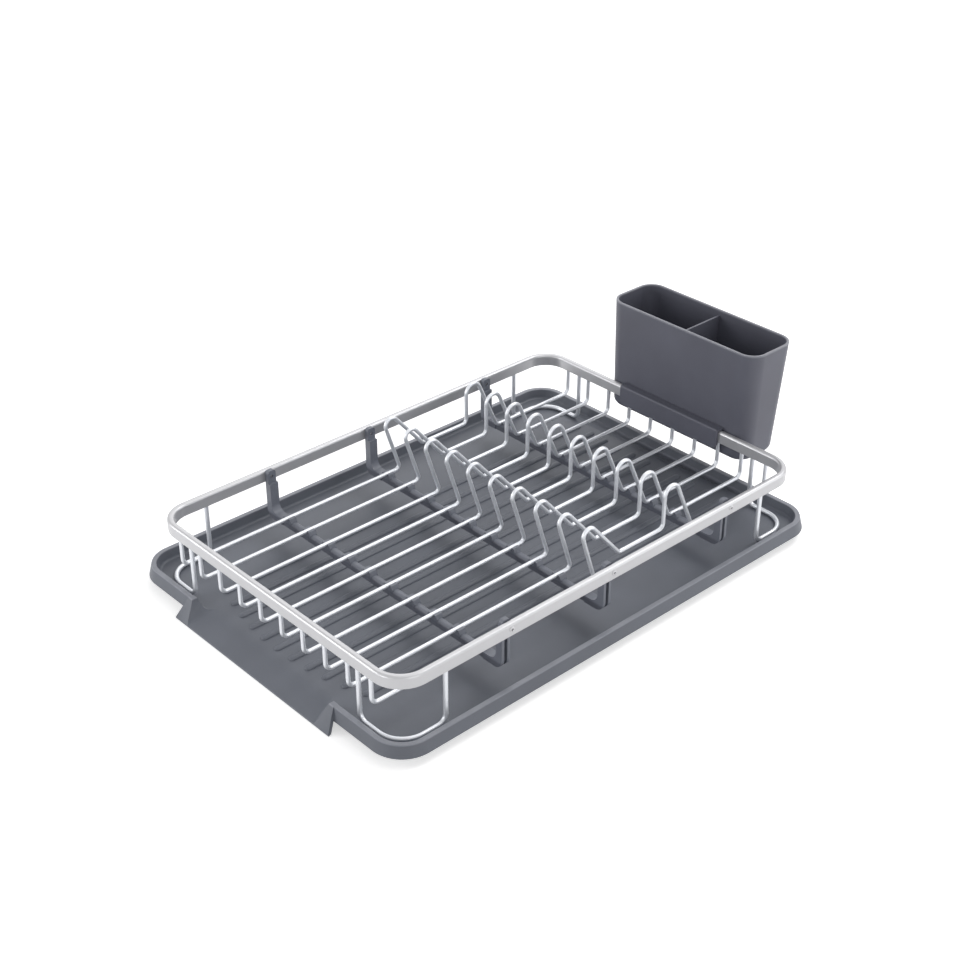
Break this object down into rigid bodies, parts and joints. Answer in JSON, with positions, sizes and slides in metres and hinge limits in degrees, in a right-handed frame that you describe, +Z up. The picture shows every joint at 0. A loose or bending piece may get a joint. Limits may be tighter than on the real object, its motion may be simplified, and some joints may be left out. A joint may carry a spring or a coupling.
{
  "type": "dish drainer",
  "caption": "Dish drainer: a metal rim with humped wires on wire legs, standing in a ribbed drip tray with a spout, and a divided cutlery holder hooked on one end.",
  "frame": {"origin": "on the surface the tray stands on, under the middle of the whole drainer's length and width", "axes": "+X along the length from the tray's spout to the cutlery holder, +Y to the back, +Z up"},
  "size_m": [0.5075, 0.331, 0.1446],
  "materials": {
    "rim_aluminium": "satin anodised",
    "wire_metal": "bright, smooth",
    "rivet_metal": "satin",
    "crossbar_plastic": "fine matt moulding",
    "tray_plastic": "fine matt moulding",
    "holder_plastic": "fine matt moulding"
  },
  "bodies": {
    "tray": {"drip_tray": "tray_plastic"},
    "rack": {"top_rim": "rim_aluminium", "wire_01": "wire_metal", "wire_02": "wire_metal", "wire_03": "wire_metal", "wire_04": "wire_metal", "wire_05": "wire_metal", "wire_06": "wire_metal", "wire_07": "wire_metal", "wire_08": "wire_metal", "wire_09": "wire_metal", "wire_10": "wire_metal", "leg_front_left": "wire_metal", "leg_front_right": "wire_metal", "leg_back_left": "wire_metal", "leg_back_right": "wire_metal", "crossbar_left": "crossbar_plastic", "crossbar_middle": "crossbar_plastic", "crossbar_right": "crossbar_plastic", "rivet_front_left": "rivet_metal", "rivet_front_middle": "rivet_metal", "rivet_front_right": "rivet_metal", "rivet_back_left": "rivet_metal", "rivet_back_middle": "rivet_metal", "rivet_back_right": "rivet_metal"},
    "holder": {"cutlery_holder": "holder_plastic"}
  },
  "joints": [
    {"name": "rack_lift", "type": "slide", "parent": "tray", "child": "rack", "axis": [0, 0, 1], "range_m": [0, 0.06]},
    {"name": "holder_lift", "type": "slide", "parent": "rack", "child": "holder", "axis": [0, 0, 1], "range_m": [0, 0.04]}
  ]
}
